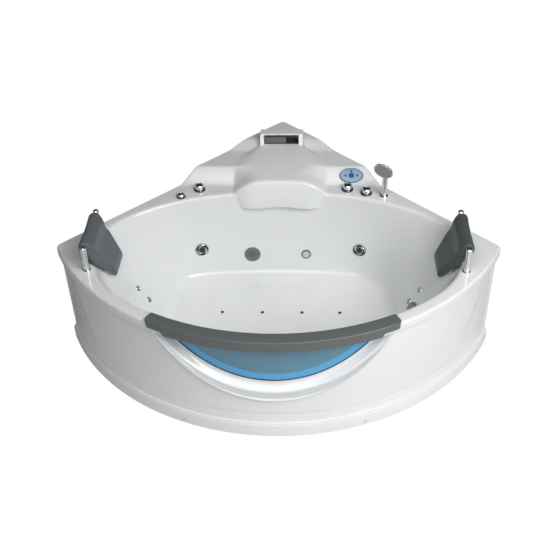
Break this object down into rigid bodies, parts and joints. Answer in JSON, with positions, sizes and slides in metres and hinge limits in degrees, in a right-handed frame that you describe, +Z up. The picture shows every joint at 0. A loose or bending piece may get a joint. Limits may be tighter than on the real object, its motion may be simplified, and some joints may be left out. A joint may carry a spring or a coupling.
{
  "type": "corner jet bathtub",
  "caption": "Corner bath with a curved apron, a blue window, headrests, jets, hand shower and a waterfall spout on a framed base.",
  "frame": {"origin": "centre of the bounding box's bottom face, on the floor", "axes": "+X to the bather's right as seen from the front, +Y towards the room corner, +Z up"},
  "size_m": [2.1028, 1.7464, 0.7952],
  "materials": {
    "acrylic": "high gloss white sanitary acrylic",
    "board": "sealed plywood",
    "steel": "galvanised square tube",
    "zinc": "zinc plated",
    "foot_plastic": "moulded",
    "seal": "matt black",
    "blue_glass": "blue tinted clear acrylic",
    "rail_trim": "satin dark grey, soft touch",
    "left_pad": "moulded foam with a soft skin",
    "chrome": "polished chrome",
    "grey_plastic": "satin moulded grey",
    "dark_plastic": "moulded",
    "hose": "interlocked metal hose",
    "brass": "cast and turned",
    "keypad_blue": "gloss light blue film in a dark ring",
    "key_blue": "gloss dark blue",
    "lens": "frosted",
    "motor": "painted cast aluminium",
    "pipe": "solvent welded pipe"
  },
  "bodies": {
    "tub": {"tub_shell": "acrylic", "base_board": "board", "frame_rails": "steel", "frame_uprights": "steel", "foot_studs": "zinc", "foot_pads": "foot_plastic", "apron_panel": "acrylic", "apron_screws": "zinc", "window_frame": "acrylic", "window_seal": "seal", "window_pane": "blue_glass", "window_surround": "acrylic", "front_rail": "rail_trim", "rail_fixings": "zinc", "spout_hood": "acrylic", "spout_duct": "dark_plastic", "spout_blade": "grey_plastic", "pillow_bars": "chrome", "pillow_posts": "chrome", "shower_bushing": "chrome", "knob_rings": "chrome", "deck_valves": "brass", "keypad_body": "keypad_blue", "large_jet_bodies": "chrome", "small_jet_bodies": "chrome", "suction_body": "chrome", "suction_grille": "grey_plastic", "light_housing": "chrome", "light_lens": "lens", "air_jets": "grey_plastic", "waste_body": "chrome", "overflow_body": "chrome", "waste_pipe": "dark_plastic", "pump_motor": "motor", "pump_head": "pipe", "blower": "dark_plastic", "control_box": "dark_plastic", "water_pipes": "pipe", "air_pipes": "pipe"},
    "hot_tap": {"hot_knob": "chrome"},
    "cold_tap": {"cold_knob": "chrome"},
    "diverter": {"diverter_knob": "chrome"},
    "air_control": {"air_knob": "chrome"},
    "handset": {"shower_handle": "chrome", "spray_face": "grey_plastic", "shower_hose": "hose"},
    "left_headrest": {"left_pillow": "left_pad"},
    "right_headrest": {"right_pillow": "left_pad"},
    "power_key": {"power_button": "key_blue"},
    "left_key": {"left_button": "key_blue"},
    "right_key": {"right_button": "key_blue"},
    "top_key": {"top_button": "key_blue"},
    "left_large_jet": {"left_large_nozzle": "grey_plastic"},
    "right_large_jet": {"right_large_nozzle": "grey_plastic"},
    "left_upper_jet": {"left_upper_nozzle": "grey_plastic"},
    "left_lower_jet": {"left_lower_nozzle": "grey_plastic"},
    "right_upper_jet": {"right_upper_nozzle": "grey_plastic"},
    "right_lower_jet": {"right_lower_nozzle": "grey_plastic"},
    "overflow_dial": {"overflow_knob": "grey_plastic"},
    "plug": {"drain_plug": "chrome"}
  },
  "joints": [
    {"name": "hot_turn", "type": "hinge", "parent": "tub", "child": "hot_tap", "pos_m": [0.348, 0.31077, 0.58], "axis": [0, 0, 1], "range_deg": [0, 180]},
    {"name": "cold_turn", "type": "hinge", "parent": "tub", "child": "cold_tap", "pos_m": [0.444, 0.27577, 0.58], "axis": [0, 0, 1], "range_deg": [-180, 0]},
    {"name": "diverter_turn", "type": "hinge", "parent": "tub", "child": "diverter", "pos_m": [-0.418, 0.30777, 0.58], "axis": [0, 0, 1], "range_deg": [-60, 60]},
    {"name": "air_turn", "type": "hinge", "parent": "tub", "child": "air_control", "pos_m": [-0.507, 0.24077, 0.58], "axis": [0, 0, 1], "range_deg": [0, 270]},
    {"name": "left_headrest_tilt", "type": "hinge", "parent": "tub", "child": "left_headrest", "pos_m": [-0.87, -0.22123, 0.685], "axis": [0, -1, 0], "range_deg": [0, 40]},
    {"name": "right_headrest_tilt", "type": "hinge", "parent": "tub", "child": "right_headrest", "pos_m": [0.87, -0.22123, 0.685], "axis": [0, 1, 0], "range_deg": [0, 40]},
    {"name": "handset_lift", "type": "slide", "parent": "tub", "child": "handset", "axis": [0, 0, 1], "range_m": [0, 0.12], "deforming": ["shower_hose"]},
    {"name": "power_press", "type": "slide", "parent": "tub", "child": "power_key", "axis": [0, 0.6606, -0.7507], "range_m": [0, 0.001], "stiffness_N_per_m": 400, "springref_m": -0.0005},
    {"name": "left_press", "type": "slide", "parent": "tub", "child": "left_key", "axis": [0, 0.6606, -0.7507], "range_m": [0, 0.001], "stiffness_N_per_m": 400, "springref_m": -0.0005},
    {"name": "right_press", "type": "slide", "parent": "tub", "child": "right_key", "axis": [0, 0.6606, -0.7507], "range_m": [0, 0.001], "stiffness_N_per_m": 400, "springref_m": -0.0005},
    {"name": "top_press", "type": "slide", "parent": "tub", "child": "top_key", "axis": [0, 0.6606, -0.7507], "range_m": [0, 0.001], "stiffness_N_per_m": 400, "springref_m": -0.0005},
    {"name": "left_large_spin", "type": "hinge", "parent": "tub", "child": "left_large_jet", "pos_m": [-0.41813, 0.20191, 0.272], "axis": [0.26, -0.9624, 0.0792], "continuous": true},
    {"name": "right_large_spin", "type": "hinge", "parent": "tub", "child": "right_large_jet", "pos_m": [0.41813, 0.20191, 0.272], "axis": [-0.26, -0.9624, 0.0792], "continuous": true},
    {"name": "left_upper_spin", "type": "hinge", "parent": "tub", "child": "left_upper_jet", "pos_m": [-0.69772, -0.1727, 0.307], "axis": [0.8486, -0.0191, 0.5287], "continuous": true},
    {"name": "left_lower_spin", "type": "hinge", "parent": "tub", "child": "left_lower_jet", "pos_m": [-0.65094, -0.16987, 0.232], "axis": [0.8488, -0.0177, 0.5285], "continuous": true},
    {"name": "right_upper_spin", "type": "hinge", "parent": "tub", "child": "right_upper_jet", "pos_m": [0.69772, -0.1727, 0.307], "axis": [-0.8486, -0.0191, 0.5287], "continuous": true},
    {"name": "right_lower_spin", "type": "hinge", "parent": "tub", "child": "right_lower_jet", "pos_m": [0.65094, -0.16987, 0.232], "axis": [-0.8488, -0.0177, 0.5285], "continuous": true},
    {"name": "overflow_turn", "type": "hinge", "parent": "tub", "child": "overflow_dial", "pos_m": [0.66112, -0.24489, 0.25], "axis": [-0.8502, 0.0378, 0.5252], "range_deg": [0, 120]},
    {"name": "plug_lift", "type": "slide", "parent": "tub", "child": "plug", "axis": [0, 0, 1], "range_m": [0, 0.009]}
  ],
  "couplings": [
    {"joint": "overflow_turn", "follows": "plug_lift", "rad_per_m": 232.71}
  ]
}
